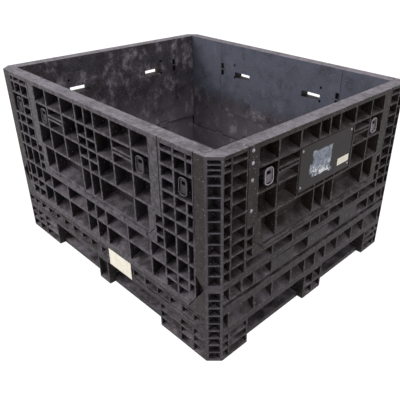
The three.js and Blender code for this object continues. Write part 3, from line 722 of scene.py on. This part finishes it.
def dress_nodes():
    """Gives each CAD node its finish, by what it is."""
    moulded = {
        # Each outer level also paints the light on its side: higher on the lit front wall and door,
        # lower on the shaded right end door, end walls and base
        "front_wall": plastic("front_wall_black", outer=0.056, offset=1.3),
        "front_door": plastic("front_door_black", outer=0.060, offset=5.1),
        # The rear wall and door get a painted blue reflection on their inner faces
        "rear_wall": plastic("rear_wall_black", reflection_share=1.0, offset=7.7),
        "rear_door": plastic("rear_door_black", reflection_share=1.0, offset=9.2),
        "right_end_door": plastic("right_door_black", outer=0.015, warm=0.22, offset=11.4),
        "base_pallet": plastic("base_black", outer=0.022, warm=0.10, offset=14.9),
        "base_runner_frame": plastic("runner_black", outer=0.07, dust=1.1, offset=3.0),
    }
    common = plastic("end_wall_black", outer=0.018, warm=0.16, offset=17.3)
    cream = label_paper("label_cream")
    placard = plate_plastic("placard_black")
    for name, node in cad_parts.items():
        if name.endswith("rod"):
            dress(node, zinc)
        elif "bolt" in name:
            dress(node, pale_steel if name.startswith("right_end") else dark_steel)
        elif name in ("base_label", "placard_label"):
            dress(node, cream)
        elif name == "placard_plate":
            dress(node, placard)
            soften(node, PLATE_EDGE)
        else:
            dress(node, moulded.get(name, common))
            soften(node, MOULDED_EDGE)


def make_bolt_bails():
    """A wire bail on every bolt, pale on the right end and dark elsewhere."""
    prefixes = {"front": "front", "rear": "rear", "right_end": "right", "left_end": "left"}
    for prefix, side in prefixes.items():
        wire = pale_wire if side == "right" else dark_wire
        kinds = ("door", "wall") if side in ("front", "rear") else ("door",)
        for n in (1, 2):
            for kind in kinds:
                make_bail(f"{prefix}_{kind}_bolt_{n}", kind, side, wire)


# The right end door's trim, in millimetres along the side and below the rim
TRIM_BODY = "right_end_door"
PLATE_LOW, PLATE_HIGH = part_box("placard_plate")
STILE_RIVETS = {"u": -435, "drops": (19, 63, 124, 241), "depth": 0.1, "size": 1.25}
PLATE_RIVETS = {"left": 12, "right": 11, "top": 14, "bottom": 18, "size": 0.9}
PAPER_LIFT = 0.15
STICKER = (-36, 182, 132, 112)
STICKER_SEED = 3.7
FLAKES = (
    ((-106, 196, 20, 44), 1.2),
    ((-88, 132, 22, 16), 6.1),
    ((24, 236, 26, 14), 9.4),
)
SLAT_PLATE = {"span": (268, 322), "depths": (30, 34), "drops": (96, 116), "edge": 1.0}


def make_right_door_trim():
    """The stile's rivets, the placard's corner rivets, a torn sticker and two strips."""
    stile_spots = [(STILE_RIVETS["u"], drop) for drop in STILE_RIVETS["drops"]]
    make_rivets("door_strip_rivets", "right", stile_spots, STILE_RIVETS["depth"],
                STILE_RIVETS["size"], bright, TRIM_BODY)
    left = PLATE_LOW.y / MM + PLATE_RIVETS["left"]
    right = PLATE_HIGH.y / MM - PLATE_RIVETS["right"]
    top = (RIM_TOP - PLATE_HIGH.z) / MM + PLATE_RIVETS["top"]
    bottom = (RIM_TOP - PLATE_LOW.z) / MM - PLATE_RIVETS["bottom"]
    corners = [(u, drop) for u in (left, right) for drop in (top, bottom)]
    face = (HALF_LENGTH - PLATE_HIGH.x) / MM
    make_rivets("placard_rivets", "right", corners, face, PLATE_RIVETS["size"], bright, TRIM_BODY)
    paper = sticker_paper("torn_sticker")
    sheets = {"sticker_remains": (STICKER, STICKER_SEED)}
    sheets.update((f"sticker_flake_{n + 1}", flake) for n, flake in enumerate(FLAKES))
    for name, (area, seed) in sheets.items():
        sheet = ragged_patch(name, "right", *area, face - PAPER_LIFT, seed, paper, TRIM_BODY)
    for n, way in enumerate((-1, 1)):
        span = sorted(way * u for u in SLAT_PLATE["span"])
        strip = soft_plate(f"slat_plate_{n + 1}", "right", span, SLAT_PLATE["depths"],
                           SLAT_PLATE["drops"], SLAT_PLATE["edge"], grey_strip, TRIM_BODY)


# Each socket's middle and top, below the rim, with its width and height
LATCH_SOCKETS = ((300, 106, 12, 12), (300, 176, 12, 12), (399, 117, 20, 30), (399, 155, 20, 30))
SOCKET_LIFT = 0.4
SOCKET_EDGE = 0.15
DOOR_BODIES = {
    "front": "front_door",
    "rear": "rear_door",
    "right": "right_end_door",
    "left": "left_end_door",
}


def make_inner_sockets():
    """Thin dark plates on the doors' inner faces, painted shade for the unlit insides of the latch
    sockets.
    """
    depths = (WALL / MM, WALL / MM + SOCKET_LIFT)
    for side, body in DOOR_BODIES.items():
        for way, hand in ((-1, "left"), (1, "right")):
            for n, (u, drop, wide, high) in enumerate(LATCH_SOCKETS):
                span = sorted((way * (u - wide / 2), way * (u + wide / 2)))
                socket = soft_plate(f"{body}_socket_{hand}_{n + 1}", side, span, depths,
                                    (drop, drop + high), SOCKET_EDGE, socket_shade, body)


make_camera()
make_stage()
make_world()
for light, settings in LIGHTS.items():
    area_light(light, *settings)

bpy.context.scene.view_settings.view_transform = "Standard"

zinc = steel("zinc_steel", 0.30, 0.6)
bright = steel("rivet_steel", 0.42, 0.5)
dark_steel = steel("dark_bolt_steel", 0.022, 0.3)
pale_steel = steel("pale_bolt_steel", 0.14, 0.4)
dark_wire = steel("dark_wire", 0.10, 0.5)
pale_wire = steel("pale_wire", 0.45, 0.5)
grey_strip = steel("slat_grey", 0.20, 0.0)
socket_shade = dark_socket("latch_socket_shade")
dress_nodes()
make_bolt_bails()
make_right_door_trim()
make_inner_sockets()
